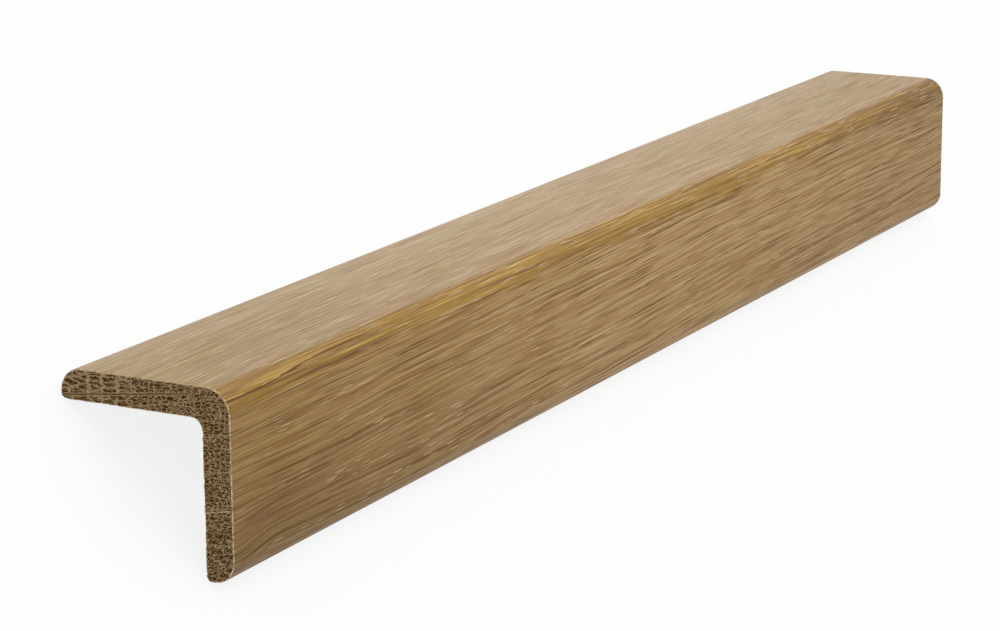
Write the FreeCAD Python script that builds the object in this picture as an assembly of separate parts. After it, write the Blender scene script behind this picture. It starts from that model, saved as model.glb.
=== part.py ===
# Corner guard moulding: one straight length of solid oak, milled to an equal-leg L section that
# caps the outside corner of a wall. It lies as it comes to rest by itself, like a tent: on the
# toes of its two legs, with the rounded outer corner as the ridge. All sizes are in millimetres.
#
# Frame of the finished part: +X runs along the length, +Z is up, the ridge lies over Y = 0, and
# the origin is under the middle of the part, on the surface that it rests on.
import FreeCAD
import Part
import math
import os

# Driving dimensions
length = 295.0
leg_width = 30.0  # over the outer corner, to the tip of the toe
leg_thickness = 5.0
outer_corner_radius = 4.2
inner_corner_radius = 1.9
toe_back_radius = 0.85  # on the side that lies against the wall
toe_tip_flat = 0.55  # left between the toe's front and back roundings
end_arris = 0.2  # eased edge all round each sawn end
rest_turn = 45.0  # degrees from the section as drawn, its legs square, to the section at rest

# The toe's front rounding takes the rest of the leg's thickness.
toe_front_radius = leg_thickness - toe_back_radius - toe_tip_flat


# The section is drawn with the virtual sharp outer corner at (0, 0): one leg hangs down from it
# and the other runs towards -Y. Each corner is (y, z, radius), in order round the outline.
section_corners = [
    (0.0, 0.0, outer_corner_radius),
    (0.0, -leg_width, toe_front_radius),
    (-leg_thickness, -leg_width, toe_back_radius),
    (-leg_thickness, -leg_thickness, inner_corner_radius),
    (-leg_width, -leg_thickness, toe_back_radius),
    (-leg_width, 0.0, toe_front_radius),
]


def rounded_corner(before, corner, after, radius):
    """The arc of this radius that rounds off a corner, between its two neighbours."""
    towards_before = (before - corner).normalize()
    towards_after = (after - corner).normalize()
    half_angle = towards_before.getAngle(towards_after) / 2
    bisector = (towards_before + towards_after).normalize()
    tangent_length = radius / math.tan(half_angle)
    nearest_to_corner = radius / math.sin(half_angle) - radius
    return Part.Arc(
        corner + towards_before * tangent_length,
        corner + bisector * nearest_to_corner,
        corner + towards_after * tangent_length,
    )


def closed_outline(corners):
    """A closed wire in the YZ plane: straight sides joined by tangent arcs."""
    points = [FreeCAD.Vector(0, y, z) for y, z, _ in corners]
    arcs = []
    for i, (_, _, radius) in enumerate(corners):
        after = points[(i + 1) % len(points)]
        arcs.append(rounded_corner(points[i - 1], points[i], after, radius))
    edges = []
    for arc, next_arc in zip(arcs, arcs[1:] + arcs[:1]):
        edges.append(arc.toShape())
        edges.append(Part.LineSegment(arc.EndPoint, next_arc.StartPoint).toShape())
    return Part.Wire(edges)


def edges_at_end(solid, x):
    """The edges of the solid that lie wholly in the end plane at x."""
    found = []
    for edge in solid.Edges:
        box = edge.BoundBox
        if max(abs(box.XMin - x), abs(box.XMax - x)) < end_arris / 2:
            found.append(edge)
    return found


def milled_length():
    """The moulding with its legs square, from x = 0 to its length, with eased sawn ends."""
    section = Part.Face(closed_outline(section_corners))
    bar = section.extrude(FreeCAD.Vector(length, 0, 0))
    sawn_edges = edges_at_end(bar, 0) + edges_at_end(bar, length)
    return bar.makeChamfer(end_arris, sawn_edges)


def laid_to_rest(bar):
    """Turns the moulding into a tent and sets it down, centred on the origin."""
    bar.rotate(FreeCAD.Vector(0, 0, 0), FreeCAD.Vector(1, 0, 0), rest_turn)
    # Each toe touches the floor with its back rounding, whose centre the turn carries down to
    # this depth under the virtual outer corner.
    turn = math.radians(rest_turn)
    centre_y = -leg_thickness + toe_back_radius
    centre_z = -leg_width + toe_back_radius
    toe_centre_depth = -(centre_y * math.sin(turn) + centre_z * math.cos(turn))
    bar.translate(FreeCAD.Vector(-length / 2, 0, toe_centre_depth + toe_back_radius))
    return bar


os.makedirs("parts", exist_ok=True)
corner_guard = laid_to_rest(milled_length())
corner_guard.exportStep("parts/corner_guard.step")

box = corner_guard.BoundBox
print("size", round(box.XLength, 2), round(box.YLength, 2), round(box.ZLength, 2))
print("lowest point", round(box.ZMin, 3), "ridge", round(box.ZMax, 3))
print("valid", corner_guard.isValid(), "solids", len(corner_guard.Solids))
print("volume in cubic centimetres", round(corner_guard.Volume / 1000, 2))
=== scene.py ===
"""An oak corner guard moulding: its planed faces, its sawn end grain, and a plain studio."""

import math

import bmesh
import bpy
from bpy.props import FloatProperty, FloatVectorProperty, IntProperty, PointerProperty
from bpy.types import Operator, Panel, PropertyGroup
from mathutils import Matrix, Vector, noise


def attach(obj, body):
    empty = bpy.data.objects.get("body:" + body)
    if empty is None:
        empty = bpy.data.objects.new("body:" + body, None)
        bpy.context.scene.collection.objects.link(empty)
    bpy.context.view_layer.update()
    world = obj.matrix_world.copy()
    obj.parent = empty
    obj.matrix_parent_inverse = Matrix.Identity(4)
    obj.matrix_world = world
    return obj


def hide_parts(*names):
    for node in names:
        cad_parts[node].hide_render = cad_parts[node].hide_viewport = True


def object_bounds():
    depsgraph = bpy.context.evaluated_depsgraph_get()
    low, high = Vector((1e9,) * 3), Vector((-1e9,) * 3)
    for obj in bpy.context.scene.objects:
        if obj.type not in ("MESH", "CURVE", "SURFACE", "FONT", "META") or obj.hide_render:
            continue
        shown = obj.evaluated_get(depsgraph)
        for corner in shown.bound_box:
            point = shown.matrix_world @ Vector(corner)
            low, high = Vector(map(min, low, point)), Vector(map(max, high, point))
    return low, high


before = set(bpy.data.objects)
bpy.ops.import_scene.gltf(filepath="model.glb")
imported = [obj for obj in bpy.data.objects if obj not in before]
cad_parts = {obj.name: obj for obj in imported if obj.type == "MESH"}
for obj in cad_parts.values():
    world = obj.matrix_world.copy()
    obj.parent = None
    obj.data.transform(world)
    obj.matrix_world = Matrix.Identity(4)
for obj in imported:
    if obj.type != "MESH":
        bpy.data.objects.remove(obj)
CAD_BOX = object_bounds()

bl_info = {
    "name": "Oak Corner Guard",
    "version": (1, 0, 0),
    "blender": (4, 5, 0),
    "location": "View3D > Sidebar > Corner Guard",
    "description": "Builds an oak corner guard moulding with planed faces and sawn ends",
    "category": "Add Mesh",
}

MM = 0.001
SLOPE = math.sqrt(0.5)  # each leg falls away from the ridge at 45 degrees
NODE = "corner_guard"

LOW, HIGH = CAD_BOX
LENGTH = HIGH.x - LOW.x
END_X = LENGTH / 2 / MM  # where the near end lies, in mm from the middle
WHITE = (1.0, 1.0, 1.0, 1.0)


# Sizes and colours that a user would change

def size(name, description, millimetres):
    return FloatProperty(
        name=name, description=description, default=millimetres * MM, min=0.0,
        subtype="DISTANCE", unit="LENGTH", precision=5,
    )


def colour(name, description, linear):
    return FloatVectorProperty(
        name=name, description=description, default=linear, min=0.0, max=1.0,
        size=3, subtype="COLOR",
    )


class SectionSizes(PropertyGroup):
    leg_width: size("Leg width", "Over the outer corner, to the tip of the toe", 30.0)
    leg_thickness: size("Leg thickness", "Thickness of both legs", 5.0)
    outer_corner_radius: size("Outer corner radius", "Rounding of the ridge", 4.2)
    inner_corner_radius: size("Inner corner radius", "Fillet between the legs' backs", 1.9)
    toe_front_radius: size("Toe front radius", "Rounding of the toe on the outer face", 3.6)
    toe_back_radius: size("Toe back radius", "Rounding of the toe on the wall side", 0.85)
    end_arris: size("End arris", "Eased edge round each sawn end", 0.2)
    grain_relief: size("Grain relief", "Depth of the soft grain below the planed face", 0.03)
    saw_relief: size("Saw relief", "Depth of the torn fibres on the sawn ends", 0.12)
    edge_chipping: size("Edge chipping", "Depth of the chips along the sawn arris", 0.4)


class MeshDensity(PropertyGroup):
    toe_steps: IntProperty(name="Toe steps", description="Faces round a toe", default=13, min=4)
    flat_steps: IntProperty(name="Flat steps", description="Faces across a leg", default=60, min=8)
    corner_steps: IntProperty(
        name="Corner steps", description="Faces round half of the outer corner", default=12, min=4,
    )
    depth_steps: IntProperty(
        name="Depth steps", description="Faces through a leg's thickness", default=13, min=3,
    )
    length_steps: IntProperty(
        name="Length steps", description="Rings along the moulding", default=244, min=8,
    )


class OakColours(PropertyGroup):
    olive: colour("Olive tan", "The yellower wood of the quarter-cut leg", (0.370, 0.252, 0.111))
    rose: colour("Rose tan", "The pinker wood of the quarter-cut leg", (0.390, 0.254, 0.129))
    honey: colour("Honey", "The yellower wood of the flat-cut leg", (0.472, 0.293, 0.101))
    clay: colour("Clay", "The pinker wood of the flat-cut leg", (0.486, 0.296, 0.112))
    streak: colour("Dark streak", "The darker fibres between", (0.23, 0.12, 0.02))
    pale: colour("Pale streak", "The lighter fibres between", (0.57, 0.39, 0.18))
    dark_warmth: colour("Warmth of dark lines", "Over every dark line", (0.96, 0.875, 0.63))
    spindle: colour("Ray line", "The thin dark ends of the rays", (0.115, 0.045, 0.004))
    fleck: colour("Pale fleck", "The lit wall of a cut pore", (0.70, 0.53, 0.34))
    # The near end's tint is partly darker wood and partly painted shade.
    near_end: colour("Near end tint", "Over the darker wood of one end", (0.68, 0.62, 0.35))
    # Painted sheen along the toe of the quarter-cut leg.
    toe_sheen: colour("Pale toe", "Over the toe of the quarter-cut leg", (0.60, 0.50, 0.42))
    # The golden band is partly the wood's colour and partly painted reflection: the fibres'
    # shimmer along the rounded ridge.
    gold: colour("Golden band", "The wood along the rounded ridge", (0.355, 0.19, 0.018))
    gold_dark: colour("Golden band, dark", "Its dark lines", (0.185, 0.082, 0.006))
    gold_pale: colour("Golden band, pale", "Its pale lines", (0.57, 0.365, 0.07))
    far_gold: colour("Golden band, far tint", "Over its far end", (0.70, 0.63, 0.45))
    end_dark: colour("End grain, dark", "The dense wood seen end on", (0.056, 0.025, 0.002))
    end_pale: colour("End grain, pale", "The rays and pores seen end on", (0.39, 0.268, 0.148))


class StudioSettings(PropertyGroup):
    lens: FloatProperty(
        name="Lens", description="Focal length of the camera on a 36 mm sensor",
        default=111.86, min=10.0, subtype="DISTANCE_CAMERA",
    )
    camera_distance: size("Camera distance", "From the camera to what it is aimed at", 597.83)
    camera_azimuth: FloatProperty(
        name="Camera azimuth", description="Angle round the moulding; 90 looks along -X",
        default=math.radians(100.198), subtype="ANGLE",
    )
    camera_elevation: FloatProperty(
        name="Camera elevation", description="Angle above the floor",
        default=math.radians(29.812), subtype="ANGLE",
    )
    camera_roll: FloatProperty(
        name="Camera roll", description="Turn about the line of sight",
        default=math.radians(45.385), subtype="ANGLE",
    )
    floor_size: size("Floor size", "Width of the square floor", 6000.0)
    lamp_size: size("Lamp size", "Width of the square lamp overhead", 700.0)
    lamp_power: FloatProperty(
        name="Lamp power", description="Power of the lamp overhead", default=1.9, min=0.0,
        unit="POWER",
    )


# Shader wiring

class Wiring:
    """Adds nodes to one tree. A socket that is passed in is linked, and a number is set."""

    def __init__(self, tree):
        self.tree = tree

    def node(self, kind, inputs, **settings):
        made = self.tree.nodes.new(kind)
        for name, value in settings.items():
            setattr(made, name, value)
        for key, value in inputs.items():
            self.feed(made.inputs[key], value)
        return made

    def group(self, tree, inputs):
        return self.node("ShaderNodeGroup", inputs, node_tree=tree).outputs

    def feed(self, socket, value):
        if isinstance(value, bpy.types.NodeSocket):
            self.tree.links.new(value, socket)
        else:
            socket.default_value = value

    def math(self, operation, *values):
        return self.node("ShaderNodeMath", dict(enumerate(values)), operation=operation).outputs[0]

    def times(self, *values):
        product = values[0]
        for value in values[1:]:
            product = self.math("MULTIPLY", product, value)
        return product

    def add(self, base, value, factor):
        """The base with this many times the value added."""
        return self.math("MULTIPLY_ADD", value, factor, base)

    def strongest(self, *masks):
        found = masks[0]
        for mask in masks[1:]:
            found = self.math("MAXIMUM", found, mask)
        return found

    def away(self, value, place):
        """How far the value lies from a place, on either side."""
        return self.math("ABSOLUTE", self.math("SUBTRACT", value, place))

    def centred(self, pattern):
        """A noise or fibre pattern moved to lie about 0."""
        return self.math("SUBTRACT", pattern, 0.5)

    def between(self, low, high, share):
        """The number that lies this share of the way from low to high."""
        return self.math("MULTIPLY_ADD", share, high - low, low)

    def blend(self, share, low, high):
        """The same for values that are sockets themselves."""
        made = self.node("ShaderNodeMix", {0: share, 2: low, 3: high}, data_type="FLOAT")
        return made.outputs[0]

    def step(self, value, low, high):
        """0 below low, 1 above high, and smooth between. It falls if low is the larger."""
        made = self.node(
            "ShaderNodeMapRange", {"Value": value, "From Min": low, "From Max": high},
            interpolation_type="SMOOTHSTEP",
        )
        return made.outputs[0]

    def vector(self, operation, *values):
        made = self.node("ShaderNodeVectorMath", dict(enumerate(values)), operation=operation)
        return made.outputs[0]

    def split(self, vector):
        return self.node("ShaderNodeSeparateXYZ", {0: vector}).outputs

    def join(self, x, y, z):
        return self.node("ShaderNodeCombineXYZ", {0: x, 1: y, 2: z}).outputs[0]

    def grey(self, value):
        return self.join(value, value, value)

    def noise(self, vector, detail=2.0, roughness=0.5):
        """Values about 0.5, from coordinates that are already scaled."""
        made = self.node(
            "ShaderNodeTexNoise",
            {"Vector": vector, "Scale": 1.0, "Detail": detail, "Roughness": roughness},
        )
        return made.outputs[0]

    def mix(self, below, above, amount, blend_type="MIX"):
        made = self.node(
            "ShaderNodeMix", {0: amount, 6: below, 7: above},
            data_type="RGBA", blend_type=blend_type,
        )
        return made.outputs[2]

    def multiply(self, below, above, amount=1.0):
        return self.mix(below, above, amount, "MULTIPLY")


FLOAT, VECTOR = "NodeSocketFloat", "NodeSocketVector"


def new_group(name, inputs, outputs):
    """A shader node group with float or vector sockets. Returns its wiring, inputs and outputs."""
    tree = bpy.data.node_groups.new(name, "ShaderNodeTree")
    for label, kind, default in inputs:
        made = tree.interface.new_socket(label, in_out="INPUT", socket_type=kind)
        if default is not None:
            made.default_value = default
    for label, kind in outputs:
        tree.interface.new_socket(label, in_out="OUTPUT", socket_type=kind)
    given = tree.nodes.new("NodeGroupInput").outputs
    result = tree.nodes.new("NodeGroupOutput").inputs
    return Wiring(tree), given, result


def wood_space_group(apex):
    """Turns a place in the moulding into coordinates for its grain, all in mm.

    Section is (along, then the section's own axes, whose legs lie along -Y and -Z). Sheet is the
    outer face laid out flat, (along, across from the ridge, 0), and carried on round the toes. It
    is pushed about so that its fibres wander, cross the moulding at a small angle and bow at one
    toe. Ridge Side is measured level. The apex is the height of the sharp outer corner.
    """
    wiring, given, result = new_group(
        "Wood Space",
        [
            ("Place", VECTOR, None), ("Slope", FLOAT, 0.0165), ("Wander", FLOAT, 3.0),
            ("Waviness", FLOAT, 0.7), ("Bow", FLOAT, 1.3),
        ],
        [("Section", VECTOR), ("Sheet", VECTOR), ("Ridge Side", FLOAT)],
    )
    section = wiring.node(
        "ShaderNodeMapping",
        {
            "Vector": given["Place"],
            "Location": (0.0, -apex * SLOPE / MM, -apex * SLOPE / MM),
            "Rotation": (-math.pi / 4, 0.0, 0.0),
            "Scale": (1 / MM, 1 / MM, 1 / MM),
        },
    ).outputs[0]
    x, y, z = wiring.split(section)
    side = wiring.math("DIVIDE", wiring.split(given["Place"])[1], MM)

    # On a leg's outer face y - z counts from the ridge. Near a toe it would turn back.
    across = wiring.math("SUBTRACT", y, z)
    round_toes = wiring.math(
        "SUBTRACT", wiring.times(z, wiring.step(y, -8.0, -26.0)),
        wiring.times(y, wiring.step(z, -8.0, -26.0)),
    )
    across = wiring.add(across, round_toes, 2.0)
    across = wiring.math("SUBTRACT", across, wiring.times(x, given["Slope"]))
    for scale, amount in (
        ((0.011, 0.05, 0.05), given["Wander"]), ((0.035, 0.2, 0.2), given["Waviness"]),
    ):
        push = wiring.centred(wiring.noise(wiring.vector("MULTIPLY", section, scale), 1.0))
        across = wiring.add(across, push, amount)
    bowed = wiring.times(
        wiring.step(x, END_X, END_X - 13.0), wiring.step(x, END_X - 70.0, END_X - 8.0),
        wiring.step(side, 10.0, 18.0), given["Bow"],
    )
    across = wiring.math("ADD", across, bowed)
    wiring.feed(result["Section"], section)
    wiring.feed(result["Sheet"], wiring.join(x, across, 0.0))
    wiring.feed(result["Ridge Side"], side)
    return wiring.tree


def in_cells(wiring, given):
    """The place in the sheet, counted in lengths and widths of the pattern."""
    sizes = wiring.join(given["Length"], given["Width"], 1.0)
    return wiring.vector("DIVIDE", given["Sheet"], sizes)


def fibre_group():
    """Soft streaks along the sheet, about 0.5. Length and Width are their sizes in mm."""
    wiring, given, result = new_group(
        "Fibres",
        [
            ("Sheet", VECTOR, None), ("Length", FLOAT, 30.0), ("Width", FLOAT, 1.0),
            ("Detail", FLOAT, 2.0), ("Roughness", FLOAT, 0.55), ("Offset", FLOAT, 0.0),
        ],
        [("Streak", FLOAT)],
    )
    offset = wiring.join(0.0, 0.0, given["Offset"])
    place = wiring.vector("ADD", in_cells(wiring, given), offset)
    wiring.feed(result["Streak"], wiring.noise(place, given["Detail"], given["Roughness"]))
    return wiring.tree


def dash_group():
    """Separate long thin dashes in the sheet, such as cut pores or ray ends, as a mask.

    Each cell holds one dash, or none. Length and Width are the cell's sizes in mm, Reach is the
    part of a cell that half a dash can take up, and Share is the part of the cells that hold one.
    Wall runs from -1 to 1 across a dash.
    """
    wiring, given, result = new_group(
        "Dashes",
        [
            ("Sheet", VECTOR, None), ("Length", FLOAT, 10.0), ("Width", FLOAT, 0.6),
            ("Reach", FLOAT, 0.25), ("Softness", FLOAT, 0.7), ("Share", FLOAT, 0.7),
            ("Offset", FLOAT, 0.0),
        ],
        [("Mask", FLOAT), ("Wall", FLOAT)],
    )
    offset = wiring.join(given["Offset"], given["Offset"], 0.0)
    place = wiring.vector("ADD", in_cells(wiring, given), offset)
    cells = wiring.node(
        "ShaderNodeTexVoronoi", {"Vector": place, "Scale": 1.0}, voronoi_dimensions="2D",
    )
    picked, kept, _ = wiring.split(cells.outputs["Color"])
    strength = wiring.between(0.55, 1.0, kept)
    reach = wiring.times(given["Reach"], strength)
    core = wiring.times(reach, wiring.math("SUBTRACT", 1.0, given["Softness"]))
    inside = wiring.step(cells.outputs["Distance"], reach, core)
    chosen = wiring.math("LESS_THAN", picked, given["Share"])
    wiring.feed(result["Mask"], wiring.times(inside, chosen, strength))
    from_middle = wiring.vector("SUBTRACT", place, cells.outputs["Position"])
    wiring.feed(result["Wall"], wiring.math("DIVIDE", wiring.split(from_middle)[1], reach))
    return wiring.tree


def new_material(name):
    """An empty material. Returns it with the place on the object and its shader's inputs."""
    material = bpy.data.materials.new(name)
    material.use_nodes = True
    material.node_tree.nodes.clear()
    wiring = Wiring(material.node_tree)
    place = wiring.node("ShaderNodeTexCoord", {}).outputs["Object"]
    shader = wiring.node("ShaderNodeBsdfPrincipled", {})
    wiring.node("ShaderNodeOutputMaterial", {"Surface": shader.outputs[0]})
    return material, place, shader.inputs


def rgba(linear):
    return (*linear, 1.0)


# The planed oak

class PlanedWood(Wiring):
    """The patterns of the planed faces, and the places and masks that they share, all in mm.

    The quarter leg falls to -Y and is cut across the rings. The flat leg falls to +Y and is cut
    along them, and it shows its streaks more.
    """

    def __init__(self, tree, place, groups):
        super().__init__(tree)
        self.groups = groups
        wood = self.group(groups["space"], {"Place": place})
        self.section, self.sheet, self.side = wood["Section"], wood["Sheet"], wood["Ridge Side"]
        self.x = self.split(self.section)[0]
        self.across = self.split(self.sheet)[1]
        self.on_flat_leg = self.step(self.side, 1.5, 3.0)
        self.near_end = self.step(self.x, 10.0, 150.0)
        self.far_end = self.step(self.x, -50.0, -140.0)
        self.to_flat_toe = self.step(self.side, 4.0, 19.0)
        self.to_quarter_toe = self.step(self.side, -10.0, -19.0)
        self.tone = self.fibres(Length=34.0, Width=3.6)
        self.streaks = self.fibres(Length=60.0, Width=0.8, Detail=3.0, Roughness=0.6, Offset=7.0)
        self.fine = self.fibres(Length=20.0, Width=0.32, Roughness=0.6, Offset=31.0)
        self.on_ridge = self.golden_band()

    def by_leg(self, quarter, flat):
        """One number on the quarter leg, and another on the flat leg."""
        return self.between(quarter, flat, self.on_flat_leg)

    def fibres(self, sheet=None, **sizes):
        sheet = self.sheet if sheet is None else sheet
        return self.group(self.groups["fibres"], {"Sheet": sheet, **sizes})[0]

    def dashes(self, **sizes):
        return self.group(self.groups["dashes"], {"Sheet": self.sheet, **sizes})

    def golden_band(self):
        """Where the golden band lies, with a soft upper edge and a ragged lower one."""
        upper = self.add(self.side, self.centred(self.tone), 1.2)
        upper = self.math("ADD", upper, self.between(-0.35, 0.0, self.near_end))
        upper = self.add(upper, self.far_end, 0.7)
        lower = self.add(self.side, self.centred(self.streaks), 3.0)
        lower = self.add(lower, self.centred(self.fine), 2.4)
        return self.times(self.step(upper, -2.15, -1.5), self.step(lower, 2.7, 2.3))

    def wood(self, colours):
        """Two tans on each leg, with darker and lighter streaks in them, and a painted highlight
        just above the golden band that turns the wood pinker.
        """
        # Painted highlight: just above the band the wood turns pinker, where the rounding faces
        # the light more
        ridge_highlight = self.step(self.side, -7.0, -3.0)
        pinker = self.step(self.add(self.tone, ridge_highlight, 0.12), 0.40, 0.66)
        quarter = self.mix(rgba(colours.olive), rgba(colours.rose), pinker)
        flat = self.mix(rgba(colours.honey), rgba(colours.clay), pinker)
        wood = self.mix(quarter, flat, self.on_flat_leg)
        darker = self.times(self.step(self.streaks, 0.5, 0.33), self.by_leg(0.25, 0.3))
        paler = self.times(self.step(self.streaks, 0.51, 0.66), self.by_leg(0.25, 0.35))
        wood = self.mix(wood, rgba(colours.streak), darker)
        return self.mix(wood, rgba(colours.pale), paler)

    def growth_lines(self):
        """Long thin lines: the wood darkens slowly towards each, and is pale again beyond it."""
        bends = self.fibres(Length=110.0, Width=2.6, Detail=1.0, Offset=53.0)
        years = self.add(self.math("DIVIDE", self.across, 1.3), bends, 3.2)
        lasting = self.step(self.fibres(Length=45.0, Width=1.4, Offset=61.0), 0.4, 0.6)
        line = self.step(self.math("FRACT", years), 0.55, 0.97)
        return self.times(line, self.between(0.25, 1.0, lasting))

    def gold(self, colours):
        """The golden band's colour, partly the wood's own and partly painted reflection, the
        fibres' golden shimmer along the rounded ridge, with fine lines of its own.
        """
        level = self.blend(0.35, self.side, self.times(self.across, SLOPE))
        lines = self.fibres(
            self.join(self.x, level, 0.0), Length=48.0, Width=0.4, Detail=3.0, Roughness=0.7,
        )
        darker = self.times(self.step(lines, 0.50, 0.37), 0.95)
        paler = self.times(self.step(lines, 0.53, 0.65), 0.9)
        gold = self.mix(rgba(colours.gold), rgba(colours.gold_dark), darker)
        gold = self.mix(gold, rgba(colours.gold_pale), paler)
        return self.multiply(gold, rgba(colours.far_gold), self.far_end)

    def split_in_band(self):
        """A thin split in the band, from the near end over the ridge, and a broken painted
        highlight along its lip.
        """
        from_end = self.math("SUBTRACT", END_X, self.x)
        path = self.between(0.95, -0.15, self.step(from_end, 8.0, 29.0))
        wavering = self.add(self.side, self.centred(self.fine), 0.5)
        past_path = self.math("SUBTRACT", wavering, path)
        split = self.times(
            self.step(self.away(past_path, 0.0), 0.2, 0.06), self.step(from_end, 52.0, 34.0),
        )
        # Painted highlight along the split's lip
        lit_lip = self.times(
            self.step(self.away(past_path, -0.24), 0.14, 0.03), self.step(from_end, 28.0, 25.0),
            self.step(self.math("SINE", self.times(from_end, 0.62)), -0.2, 0.1),
        )
        return split, lit_lip

    def fibre_tint(self):
        """Fine fibres everywhere: a dark one loses most of its blue, and least of its red."""
        depth = self.times(self.centred(self.fine), 2.3)
        least_left = 0.15
        return self.join(*(
            self.math("MAXIMUM", self.add(1.0, depth, strength), least_left)
            for strength in (0.65, 1.0, 1.9)
        ))

    def slow_shade(self):
        """The slow darkening towards the ends, the flat leg's toe and the far end's band."""
        under_band = self.times(self.far_end, self.on_flat_leg, self.step(self.side, 6.0, 3.5))
        near_toe = self.times(self.near_end, self.to_flat_toe)
        return self.grey(self.times(
            self.between(1.0, 0.94, self.far_end), self.between(1.0, 0.91, self.to_flat_toe),
            self.between(1.0, 0.85, near_toe), self.between(1.0, 0.86, under_band),
        ))

    # Darker wood and painted shade towards the near end, most towards the flat leg's toe
    def near_end_tint_and_shade(self):
        amount = self.add(self.by_leg(0.45, 0.75), self.to_flat_toe, 0.3)
        return self.times(self.near_end, amount, self.between(1.0, 0.78, self.on_ridge))

    def ray_lines(self):
        """Thin dark lines, which are the ends of the rays: long ones and short ones."""
        long_rays = self.dashes(Length=85.0, Width=0.85, Reach=0.18, Share=0.8)["Mask"]
        short_rays = self.dashes(
            Length=22.0, Width=0.55, Reach=0.24, Softness=0.75, Offset=9.0,
        )["Mask"]
        rays = self.strongest(long_rays, self.times(short_rays, 0.75))
        return self.times(rays, self.by_leg(0.35, 1.15), self.between(1.0, 0.6, self.on_ridge))

    def dark_lines(self, growth, rays):
        """Every dark line, to be made a warmer brown than the wood round it."""
        dark = self.strongest(
            self.step(self.fine, 0.48, 0.31), self.step(self.streaks, 0.46, 0.30), growth, rays,
        )
        return self.times(dark, self.by_leg(0.5, 1.0))

    def cut_pores(self):
        """Cut pores, in the early wood of each ring and in patches along it.

        Returns where they are, their walls with a painted highlight and their walls in painted
        shade.
        """
        rings = self.math("DIVIDE", self.across, self.by_leg(2.8, 4.6))
        phase = self.math("FRACT", self.add(rings, self.tone, 1.6))
        early = self.strongest(self.step(self.away(phase, 0.5), 0.0, 0.25), self.by_leg(0.8, 0.0))
        patches = self.fibres(
            Length=self.by_leg(16.0, 24.0), Width=self.by_leg(3.6, 2.0), Detail=1.0, Offset=90.0,
        )
        patches = self.step(patches, self.by_leg(0.42, 0.49), self.by_leg(0.52, 0.6))
        pores = self.dashes(
            Length=self.by_leg(9.5, 7.0), Width=self.by_leg(0.8, 0.6),
            Reach=self.by_leg(0.4, 0.33), Softness=0.6, Share=0.95, Offset=5.0,
        )
        inside = self.times(
            pores["Mask"], self.between(0.08, 1.0, self.times(early, patches)),
            self.between(1.0, 0.35, self.times(self.on_ridge, self.near_end)),
        )
        # Painted highlight on one wall of each pore and painted shade on the other, as if the
        # light fell from above
        wall = self.times(pores["Wall"], self.by_leg(-1.0, 1.0))
        lit = self.times(inside, self.step(wall, -0.45, -0.15), self.by_leg(0.75, 0.8))
        dark = self.times(inside, self.step(wall, -0.2, -0.55), self.by_leg(1.3, 1.0))
        return inside, lit, dark

    def arris_dots(self):
        """The arris at each sawn end, broken into pale dots."""
        arris = self.step(self.math("ABSOLUTE", self.x), END_X - 0.27, END_X - 0.12)
        dots = self.noise(self.vector("MULTIPLY", self.section, (2.2, 2.2, 2.2)), 1.0)
        dots = self.between(0.15, 0.85, self.step(dots, 0.42, 0.55))
        return self.times(arris, dots, self.between(0.45, 1.0, self.step(self.side, -5.0, -1.0)))


def planed_oak(colours, groups):
    """The planed faces: fine streaks, dark ray lines, cut pores and a golden ridge that is partly
    painted reflection.
    """
    material, place, shader = new_material("planed_oak")
    oak = PlanedWood(material.node_tree, place, groups)
    growth, rays = oak.growth_lines(), oak.ray_lines()
    pores, lit_walls, shaded_walls = oak.cut_pores()
    split, split_highlight = oak.split_in_band()

    surface = oak.wood(colours)
    surface = oak.mix(surface, rgba(colours.streak), oak.times(growth, oak.by_leg(0.3, 0.75)))
    # Partly painted reflection: the golden shimmer of the rounded ridge
    surface = oak.mix(surface, oak.gold(colours), oak.on_ridge)
    surface = oak.multiply(surface, oak.fibre_tint())
    surface = oak.multiply(surface, oak.slow_shade())
    # Darker wood and painted shade towards the near end
    surface = oak.multiply(surface, rgba(colours.near_end), oak.near_end_tint_and_shade())
    # Painted sheen: the quarter leg's toe is made paler
    surface = oak.mix(surface, rgba(colours.toe_sheen), oak.times(oak.to_quarter_toe, 0.14))
    surface = oak.mix(surface, rgba(colours.spindle), rays)
    surface = oak.multiply(surface, rgba(colours.dark_warmth), oak.dark_lines(growth, rays))
    for colour_over, amount in (
        # painted highlight and painted shade on the walls of the cut pores
        (colours.fleck, lit_walls),
        (colours.spindle, shaded_walls),
        # painted highlight on the split's lip
        (colours.gold_pale, oak.times(split_highlight, 0.8)),
        (colours.spindle, oak.times(split, 0.95)),
        (colours.fleck, oak.arris_dots()),
    ):
        surface = oak.mix(surface, rgba(colour_over), amount)
    oak.feed(shader["Base Color"], surface)

    grooves = oak.strongest(rays, pores, split)
    oak.feed(shader["Roughness"], oak.add(0.5, grooves, 0.3))
    height = oak.add(oak.times(oak.fine, 0.8), oak.streaks, 0.6)
    height = oak.math("SUBTRACT", height, oak.times(grooves, 0.9))
    bump = oak.node("ShaderNodeBump", {"Height": height, "Distance": 0.06 * MM, "Strength": 0.5})
    oak.feed(shader["Normal"], bump.outputs[0])
    return material


# The sawn end grain

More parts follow.
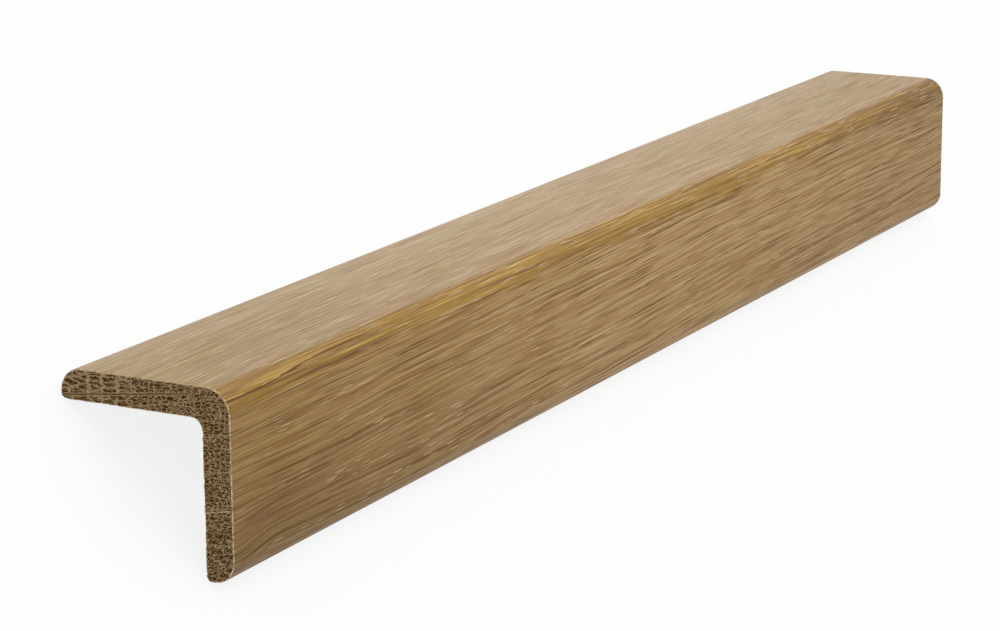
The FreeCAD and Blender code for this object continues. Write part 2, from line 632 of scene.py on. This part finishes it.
class SawnWood(Wiring):
    """The patterns of the sawn ends, in the section's own axes and in mm."""

    def __init__(self, tree, place, groups):
        super().__init__(tree)
        self.section = self.group(groups["space"], {"Place": place})["Section"]
        _, self.y, self.z = self.split(self.section)
        # Torn fibres push the pattern about
        wide_y, wide_z = self.ripples(0.45)
        self.tight_y, self.tight_z = self.ripples(1.7)
        torn_y, torn_z = self.ripples(4.2)
        wavy_y = self.add(self.add(self.y, wide_y, 0.9), self.tight_y, 0.9)
        wavy_z = self.add(self.add(self.z, wide_z, 0.8), self.tight_z, 0.6)
        self.wavy_y = self.add(wavy_y, torn_y, 0.42)
        self.wavy_z = self.add(wavy_z, torn_z, 0.32)
        # The cells stretch between the rays near the quarter leg's toe, and lean at the other
        self.coarse_part = self.step(self.y, -15.5, -18.0)
        self.leaning_part = self.step(self.z, -21.5, -23.5)

    def ripples(self, scale):
        made = self.node(
            "ShaderNodeTexNoise", {"Vector": self.section, "Scale": scale, "Detail": 1.0},
        )
        _, y, z = self.split(self.vector("SUBTRACT", made.outputs["Color"], (0.5, 0.5, 0.5)))
        return y, z

    def net(self, y_size, z_size, lean=0.0):
        """How far a place lies from the pale net round each cell of dark wood."""
        leaning = self.add(self.wavy_z, self.wavy_y, lean)
        where = self.join(
            self.math("DIVIDE", self.wavy_y, y_size), self.math("DIVIDE", leaning, z_size), 0.0,
        )
        cells = self.node(
            "ShaderNodeTexVoronoi", {"Vector": where, "Scale": 1.0},
            feature="DISTANCE_TO_EDGE", voronoi_dimensions="2D",
        )
        return cells.outputs["Distance"]

    def dark_cells(self):
        from_net = self.blend(self.coarse_part, self.net(1.0, 0.46), self.net(2.5, 0.8))
        from_net = self.blend(self.leaning_part, from_net, self.net(1.1, 0.55, -0.7))
        patch = self.noise(self.vector("MULTIPLY", self.section, (1.0, 1.0, 1.8)), 3.0, 0.8)
        return self.times(
            self.step(from_net, 0.02, 0.17), self.between(-0.1, 2.1, patch),
            self.between(1.0, 0.88, self.coarse_part),
        )

    def evenly(self, along, spacing, width):
        """Pale lines at even spacing, sharp in the middle third of their width."""
        phase = self.math("FRACT", self.math("DIVIDE", along, spacing))
        return self.step(self.away(phase, 0.5), width / spacing, width * 0.3 / spacing)

    def tilted(self, slope, wobble):
        """A place that counts across lines which lean at this slope and wobble a little."""
        return self.add(self.add(self.z, self.tight_z, wobble), self.y, -slope)

    def pale_lines(self):
        """The rays, the ring borders near one toe, and a few long rays."""
        broken = self.noise(self.vector("MULTIPLY", self.section, (1.0, 0.6, 2.0)), 0.0)
        broken = self.step(broken, 0.36, 0.55)
        rays = self.times(
            self.evenly(self.wavy_z, 0.95, 0.16), broken,
            self.between(0.5, 0.6, self.coarse_part),
        )
        rings = self.times(
            self.evenly(self.add(self.y, self.tight_y, 0.5), 2.65, 0.24),
            self.coarse_part, self.between(0.2, 0.8, broken),
        )
        long_place = self.math("ADD", self.tilted(0.2, 0.25), 4.0)
        long_rays = self.times(self.evenly(long_place, 5.6, 0.14), 0.6)
        return self.strongest(rays, rings, long_rays)


def sawn_oak(colours, groups):
    """The sawn ends: dark wood in a pale net of rays and pores."""
    material, place, shader = new_material("sawn_end_grain")
    oak = SawnWood(material.node_tree, place, groups)
    dark_cells, pale_lines = oak.dark_cells(), oak.pale_lines()

    # One wide ray crosses the flat leg, and a thin split runs through the quarter leg
    wide_ray = oak.away(oak.tilted(0.2, 0.25), -18.4)
    split = oak.away(oak.tilted(0.126, 0.3), -0.58)
    in_split = oak.step(oak.y, -6.0, -9.0)
    surface = rgba(colours.end_pale)
    for colour_over, amount in (
        (colours.end_dark, dark_cells),
        (colours.end_pale, pale_lines),
        (colours.fleck, oak.times(oak.step(wide_ray, 0.13, 0.06), 0.5)),
        (colours.end_pale, oak.times(oak.step(split, 0.32, 0.2), in_split, 0.7)),
        (colours.end_dark, oak.times(oak.step(split, 0.14, 0.06), in_split, 0.9)),
    ):
        surface = oak.mix(surface, rgba(colour_over), amount)
    speckle = oak.noise(oak.vector("MULTIPLY", oak.section, (5.0, 5.0, 5.0)), 1.0)
    speckle = oak.between(0.25, 1.75, speckle)
    oak.feed(shader["Base Color"], oak.multiply(surface, oak.grey(speckle)))

    oak.feed(shader["Roughness"], 0.85)
    oak.feed(shader["Specular IOR Level"], 0.06)
    height = oak.math("SUBTRACT", oak.math("ADD", pale_lines, speckle), dark_cells)
    bump = oak.node("ShaderNodeBump", {"Height": height, "Distance": 0.1 * MM, "Strength": 0.6})
    oak.feed(shader["Normal"], bump.outputs[0])
    return material


# The moulding's mesh

PLANED, SAWN = 0, 1  # the piece's material slots


class Section:
    """The L section with its outline moved inwards by an inset, in metres."""

    def __init__(self, sizes, inset):
        self.inset = inset
        self.width = sizes.leg_width - 2 * inset
        self.thickness = sizes.leg_thickness - 2 * inset
        self.corner = sizes.outer_corner_radius - inset
        self.fillet = sizes.inner_corner_radius + inset
        self.toe_front = sizes.toe_front_radius - inset
        self.toe_back = sizes.toe_back_radius - inset

    def corner_line(self, share):
        """The line across the outer corner, from its diagonal at 0 to the leg at 1.

        Places are (along the leg from the sharp outer corner, depth below the outer face).
        """
        centre = Vector((self.thickness + self.fillet,) * 2)
        turn = math.radians(45 * (1 - share))
        ray = Vector((-math.sin(turn), -math.cos(turn)))
        inner = centre + ray * self.fillet
        flat = centre + ray * (centre.y / -ray.y)
        if flat.x >= self.corner:
            return flat, inner
        to_centre = centre - Vector((self.corner, self.corner))
        half = to_centre.dot(ray)
        reach = -half + math.sqrt(half ** 2 - to_centre.length_squared + self.corner ** 2)
        return centre + ray * reach, inner

    def flat_line(self, share):
        start = self.thickness + self.fillet
        end = self.width - self.toe_front
        along = start + (end - start) * share
        return Vector((along, 0)), Vector((along, self.thickness))

    def toe_line(self, share):
        """The line across the toe, from its start at 0 to its tip at 1."""
        turn = share * math.pi / 2
        along = self.width - self.toe_front * (1 - math.sin(turn))
        outer = Vector((along, self.toe_front * (1 - math.cos(turn))))
        past = along - (self.width - self.toe_back)
        if past <= 0:
            return outer, Vector((along, self.thickness))
        drop = self.toe_back - math.sqrt(max(self.toe_back ** 2 - past ** 2, 0))
        return outer, Vector((along, self.thickness - drop))

    def line(self, steps, index):
        """The line across the leg at a whole number of steps from the diagonal."""
        if index <= steps.corner_steps:
            outer, inner = self.corner_line(index / steps.corner_steps)
        elif index <= steps.corner_steps + steps.flat_steps:
            outer, inner = self.flat_line((index - steps.corner_steps) / steps.flat_steps)
        else:
            past = index - steps.corner_steps - steps.flat_steps
            outer, inner = self.toe_line(past / steps.toe_steps)
        shift = Vector((self.inset, self.inset))
        return outer + shift, inner + shift


def apex_height(sizes):
    """Height of the sharp outer corner, when both toes' back roundings touch the floor."""
    below = sizes.leg_width + sizes.leg_thickness - 2 * sizes.toe_back_radius
    return below * SLOPE + sizes.toe_back_radius


def at_rest(place, side, apex):
    """(y, z) in the row frame of a place on the leg that falls to that side, -1 or 1."""
    return side * (place.x - place.y) * SLOPE, apex - (place.x + place.y) * SLOPE


def ring_stations(steps, arris):
    """(x, inset) of each ring, closer together near the sawn ends, whose arris is rounded."""
    crowding = 0.75  # 0 spaces the rings evenly, and 1 closes them up fully at the ends
    half_way = arris * (1 - SLOPE)
    start = [(0.0, arris), (half_way, half_way)]
    body = LENGTH - 2 * arris
    count = steps.length_steps - 2 * len(start)
    stations = list(start)
    for i in range(count + 1):
        share = i / count
        eased = share - crowding * math.sin(2 * math.pi * share) / (2 * math.pi)
        stations.append((arris + body * eased, 0.0))
    for x, inset in reversed(start):
        stations.append((LENGTH - x, inset))
    return stations


# Each wear is noise in mm, and each of its layers is read at a place of its own

def planed_wear(place):
    """0 where hard fibres keep the full size, up to 1 where soft ones lie lowest."""
    x, y, z = place / MM
    wide = noise.noise(Vector((0.02 * x, 0.45 * y, 0.45 * z + 0.01 * x)))
    narrow = noise.noise(Vector((0.05 * x + 40, 1.1 * y, 1.1 * z + 0.03 * x)))
    return min(max(0.5 + 0.35 * wide + 0.3 * narrow, 0.0), 1.0)


def torn_wear(place):
    """0 where sawn fibres stand full length, up to 1 where they are torn out deepest."""
    _, y, z = place / MM
    coarse = noise.noise(Vector((9, 1.2 * y, 1.2 * z)))
    fine = noise.noise(Vector((5, 2.9 * y, 2.9 * z)))
    return min(max(0.45 + 0.3 * coarse + 0.5 * fine, 0.0), 1.0)


def chipped_wear(place):
    """0 along most of a sawn edge, up to 1 in its chips."""
    _, y, z = place / MM
    return min(max(1.5 * noise.noise(Vector((23, 1.4 * y, 1.4 * z))) - 0.1, 0.0), 1.0)


def wear_surface(bm, sizes, inner_share):
    """Pushes every vertex a little way in, by the wear at its place."""
    chips_reach = 3 * sizes.end_arris  # how far from an end, and there are fewer outside
    outer_share = 0.25
    moves = []
    for vert in bm.verts:
        on_sawn_end = abs(vert.normal.x) > 0.9
        if on_sawn_end:
            depth = sizes.saw_relief * torn_wear(vert.co)
        else:
            depth = sizes.grain_relief * planed_wear(vert.co)
            near = max(1 - (LENGTH / 2 - abs(vert.co.x)) / chips_reach, 0.0)
            share = outer_share + (1 - outer_share) * inner_share[vert]
            depth += sizes.edge_chipping * share * near * chipped_wear(vert.co)
        moves.append(vert.normal * -depth)
    for vert, move in zip(bm.verts, moves):
        vert.co += move


class CORNERGUARD_OT_moulding(Operator):
    """Builds the moulding as one closed mesh with relief, and gives it its oak"""

    bl_idname = "cornerguard.moulding"
    bl_label = "Moulding"
    bl_options = {"REGISTER", "UNDO"}

    def execute(self, context):
        sizes = context.scene.corner_guard_section
        steps = context.scene.corner_guard_density
        piece = build_moulding(context, sizes, steps)
        finish_in_oak(piece, context.scene.corner_guard_colours, sizes)
        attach(piece, "root")
        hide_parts(NODE)
        return {"FINISHED"}


def build_moulding(context, sizes, steps):
    half = steps.corner_steps + steps.flat_steps + steps.toe_steps
    apex = apex_height(sizes)
    mesh = bpy.data.meshes.new("oak_corner_guard")
    bm = bmesh.new()

    # A flat strip, one unit to a step, extruded to a bar and sliced into rings
    bmesh.ops.create_grid(
        bm, x_segments=2 * half, y_segments=steps.depth_steps, size=0.5,
        matrix=Matrix.Diagonal((2 * half, steps.depth_steps, 1, 1)),
    )
    made = bmesh.ops.extrude_face_region(bm, geom=bm.faces[:], use_keep_orig=True)
    far = [item for item in made["geom"] if isinstance(item, bmesh.types.BMVert)]
    bmesh.ops.translate(bm, verts=far, vec=(0, 0, steps.length_steps))
    long_edges = [e for e in bm.edges if abs(e.verts[0].co.z - e.verts[1].co.z) > 0.5]
    bmesh.ops.subdivide_edges(
        bm, edges=long_edges, cuts=steps.length_steps - 1, use_grid_fill=True,
    )
    put_in_order(bm, steps, half)
    for face in bm.faces:
        face.smooth = True
        rings_of = {round(vert.co.z) for vert in face.verts}
        face.material_index = SAWN if len(rings_of) == 1 else PLANED

    # Each vertex goes from its step numbers to its place in the moulding
    stations = ring_stations(steps, sizes.end_arris)
    lines = {}
    for inset in {inset for _, inset in stations}:
        section = Section(sizes, inset)
        lines[inset] = [section.line(steps, i) for i in range(half + 1)]
    unroll(bm, steps, half, stations, lines[0.0])
    inner_share = {}
    for vert in bm.verts:
        across = round(vert.co.x)
        depth = vert.co.y / steps.depth_steps + 0.5
        x, inset = stations[round(vert.co.z)]
        outer, inner = lines[inset][abs(across)]
        y, z = at_rest(outer.lerp(inner, depth), 1 if across > 0 else -1, apex)
        vert.co = (LOW.x + x, y, z)
        inner_share[vert] = depth
    bmesh.ops.recalc_face_normals(bm, faces=bm.faces[:])
    bm.normal_update()
    wear_surface(bm, sizes, inner_share)
    bm.to_mesh(mesh)
    bm.free()
    piece = bpy.data.objects.new("oak_corner_guard", mesh)
    context.scene.collection.objects.link(piece)
    return piece


def put_in_order(bm, steps, half):
    """Numbers the vertices along the moulding, so that every run gives the same mesh."""

    def step_number(vert):
        ring, across = round(vert.co.z), round(vert.co.x) + half
        depth = round(vert.co.y + steps.depth_steps / 2)
        return (ring * (2 * half + 1) + across) * (steps.depth_steps + 1) + depth

    def by_corners(item):
        corners = [vert.index for vert in item.verts]
        return min(corners) * len(bm.verts) + max(corners)

    bm.verts.sort(key=step_number)
    bm.verts.index_update()
    bm.edges.sort(key=by_corners)
    bm.faces.sort(key=by_corners)


def unroll(bm, steps, half, stations, line):
    """Lays the long faces out flat in a UV map, outer face below and backs above, then both ends.

    The grain is long and narrow, so the map gives each millimetre more room across than along.
    """
    uv_map = bm.loops.layers.uv.new("OFBake")
    outer, inner = [0.0], [0.0]
    for before, after in zip(line, line[1:]):
        outer.append(outer[-1] + (after[0] - before[0]).length)
        inner.append(inner[-1] + (after[1] - before[1]).length)
    tip = (line[-1][1] - line[-1][0]).length
    gap = 1.5 * MM
    around = 2 * (outer[-1] + inner[-1]) + 2 * tip + 3 * gap
    long_part, end_part, margin = 0.79, 0.09, 0.01  # shares of the map

    def girth(across, depth, over_back):
        lengths = inner if over_back else outer
        along = math.copysign(lengths[abs(across)], across)
        if not over_back:
            return outer[-1] + along + (tip * depth if across == half else 0.0)
        middle = 2 * outer[-1] + tip + gap + inner[-1]
        return middle + along + (tip * (1 - depth) if across == half else 0.0)

    for face in bm.faces:
        steps_of = [
            (round(v.co.x), v.co.y / steps.depth_steps + 0.5, round(v.co.z)) for v in face.verts
        ]
        over_back = all(depth > 0.999 for _, depth, _ in steps_of)
        at_minus_tip = all(across == -half for across, _, _ in steps_of)
        for loop, (across, depth, ring) in zip(face.loops, steps_of):
            if face.material_index == SAWN:
                u = 0.5 + (0.5 - margin) * across / half
                v = long_part + margin + end_part * depth
                if ring > 0:
                    v += end_part + 1.5 * margin
            else:
                u = margin / 2 + (1 - margin) * stations[ring][0] / LENGTH
                if at_minus_tip:
                    v = long_part * (around - gap - tip * depth) / around
                else:
                    v = long_part * girth(across, depth, over_back) / around
            loop[uv_map].uv = (u, v)


def finish_in_oak(piece, colours, sizes):
    groups = {
        "space": wood_space_group(apex_height(sizes)),
        "fibres": fibre_group(),
        "dashes": dash_group(),
    }
    piece.data.materials.append(planed_oak(colours, groups))
    piece.data.materials.append(sawn_oak(colours, groups))


# The studio

class CORNERGUARD_OT_studio(Operator):
    """Sets out the floor, the white surroundings, the lamp and the camera"""

    bl_idname = "cornerguard.studio"
    bl_label = "Studio"
    bl_options = {"REGISTER", "UNDO"}

    def execute(self, context):
        studio = context.scene.corner_guard_studio
        context.scene.view_settings.view_transform = "Standard"
        lay_floor(context, studio)
        light_studio(context, studio)
        place_camera(context, studio)
        return {"FINISHED"}


def lay_floor(context, studio):
    mesh = bpy.data.meshes.new("studio_floor")
    bm = bmesh.new()
    bmesh.ops.create_grid(bm, x_segments=1, y_segments=1, size=studio.floor_size / 2)
    bm.to_mesh(mesh)
    bm.free()
    floor = bpy.data.objects.new("studio_floor", mesh)
    context.scene.collection.objects.link(floor)
    material = bpy.data.materials.new("white_floor")
    material.use_nodes = True
    material.node_tree.nodes.clear()
    wiring = Wiring(material.node_tree)
    to_camera = wiring.node("ShaderNodeLightPath", {}).outputs["Is Camera Ray"]
    lit = wiring.node("ShaderNodeBsdfDiffuse", {"Color": rgba((0.9, 0.9, 0.9))})
    glow = wiring.node("ShaderNodeEmission", {"Color": WHITE, "Strength": 1.0})
    # The rest of what the camera sees is lit, so that the shadow shows faintly
    glow_share = wiring.times(to_camera, 0.85)
    both = wiring.node(
        "ShaderNodeMixShader", {0: glow_share, 1: lit.outputs[0], 2: glow.outputs[0]},
    )
    wiring.node("ShaderNodeOutputMaterial", {"Surface": both.outputs[0]})
    floor.data.materials.append(material)


def light_studio(context, studio):
    world = bpy.data.worlds.new("studio_world")
    world.use_nodes = True
    world.node_tree.nodes.clear()
    wiring = Wiring(world.node_tree)
    # Brighter overhead and behind the leg that falls to -Y, and plain white to the camera
    brightest_way, dimmest, brightest = (0.0, -0.6, 0.8), 0.15, 1.0
    towards = wiring.node("ShaderNodeTexCoord", {}).outputs["Generated"]
    height = wiring.vector("DOT_PRODUCT", towards, brightest_way).node.outputs["Value"]
    light = wiring.between(dimmest, brightest, wiring.step(height, -0.7, 0.9))
    to_camera = wiring.node("ShaderNodeLightPath", {}).outputs["Is Camera Ray"]
    strength = wiring.blend(to_camera, light, 1.0)
    glow = wiring.node("ShaderNodeBackground", {"Color": WHITE, "Strength": strength})
    wiring.node("ShaderNodeOutputWorld", {"Surface": glow.outputs[0]})
    context.scene.world = world

    lamp = bpy.data.lights.new("softbox", "AREA")
    lamp.shape = "SQUARE"
    lamp.size = studio.lamp_size
    lamp.energy = studio.lamp_power
    holder = bpy.data.objects.new("softbox", lamp)
    context.scene.collection.objects.link(holder)
    place = Vector((0.0, -220.0, 800.0)) * MM
    holder.location = place
    holder.rotation_euler = (-place).to_track_quat("-Z", "Y").to_euler()


def place_camera(context, studio):
    azimuth, elevation = studio.camera_azimuth, studio.camera_elevation
    back = Vector((
        math.sin(azimuth) * math.cos(elevation),
        -math.cos(azimuth) * math.cos(elevation),
        math.sin(elevation),
    ))
    # The picture's centre looks at this place, in the plane across the moulding's middle
    aim = Vector((0.0, -6.36, -18.51)) * MM
    camera = bpy.data.objects.new("camera", bpy.data.cameras.new("camera"))
    context.scene.collection.objects.link(camera)
    camera.data.lens = studio.lens
    camera.data.sensor_width = 36.0
    camera.data.clip_start = 0.01
    camera.location = aim + back * studio.camera_distance
    level = (-back).to_track_quat("-Z", "Y").to_matrix().to_4x4()
    rolled = level @ Matrix.Rotation(studio.camera_roll, 4, "Z")
    camera.rotation_euler = rolled.to_euler()
    context.scene.camera = camera


# The add-on

class CORNERGUARD_PT_panel(Panel):
    """Lists the moulding's sizes, its colours and the studio"""

    bl_idname = "CORNERGUARD_PT_panel"
    bl_label = "Corner Guard"
    bl_space_type = "VIEW_3D"
    bl_region_type = "UI"
    bl_category = "Corner Guard"

    def draw(self, context):
        for name, operator in (
            ("corner_guard_section", None),
            ("corner_guard_density", None),
            ("corner_guard_colours", "cornerguard.moulding"),
            ("corner_guard_studio", "cornerguard.studio"),
        ):
            group = getattr(context.scene, name)
            box = self.layout.box()
            for key in group.bl_rna.properties.keys():
                if key not in ("rna_type", "name"):
                    box.prop(group, key)
            if operator:
                box.operator(operator)


CLASSES = (
    SectionSizes,
    MeshDensity,
    OakColours,
    StudioSettings,
    CORNERGUARD_OT_moulding,
    CORNERGUARD_OT_studio,
    CORNERGUARD_PT_panel,
)


def register():
    for cls in CLASSES:
        bpy.utils.register_class(cls)
    bpy.types.Scene.corner_guard_section = PointerProperty(type=SectionSizes)
    bpy.types.Scene.corner_guard_density = PointerProperty(type=MeshDensity)
    bpy.types.Scene.corner_guard_colours = PointerProperty(type=OakColours)
    bpy.types.Scene.corner_guard_studio = PointerProperty(type=StudioSettings)


def unregister():
    del bpy.types.Scene.corner_guard_studio
    del bpy.types.Scene.corner_guard_colours
    del bpy.types.Scene.corner_guard_density
    del bpy.types.Scene.corner_guard_section
    for cls in reversed(CLASSES):
        bpy.utils.unregister_class(cls)


def main():
    register()
    bpy.ops.cornerguard.studio()
    bpy.ops.cornerguard.moulding()
    bpy.context.view_layer.update()


if __name__ == "__main__":
    main()
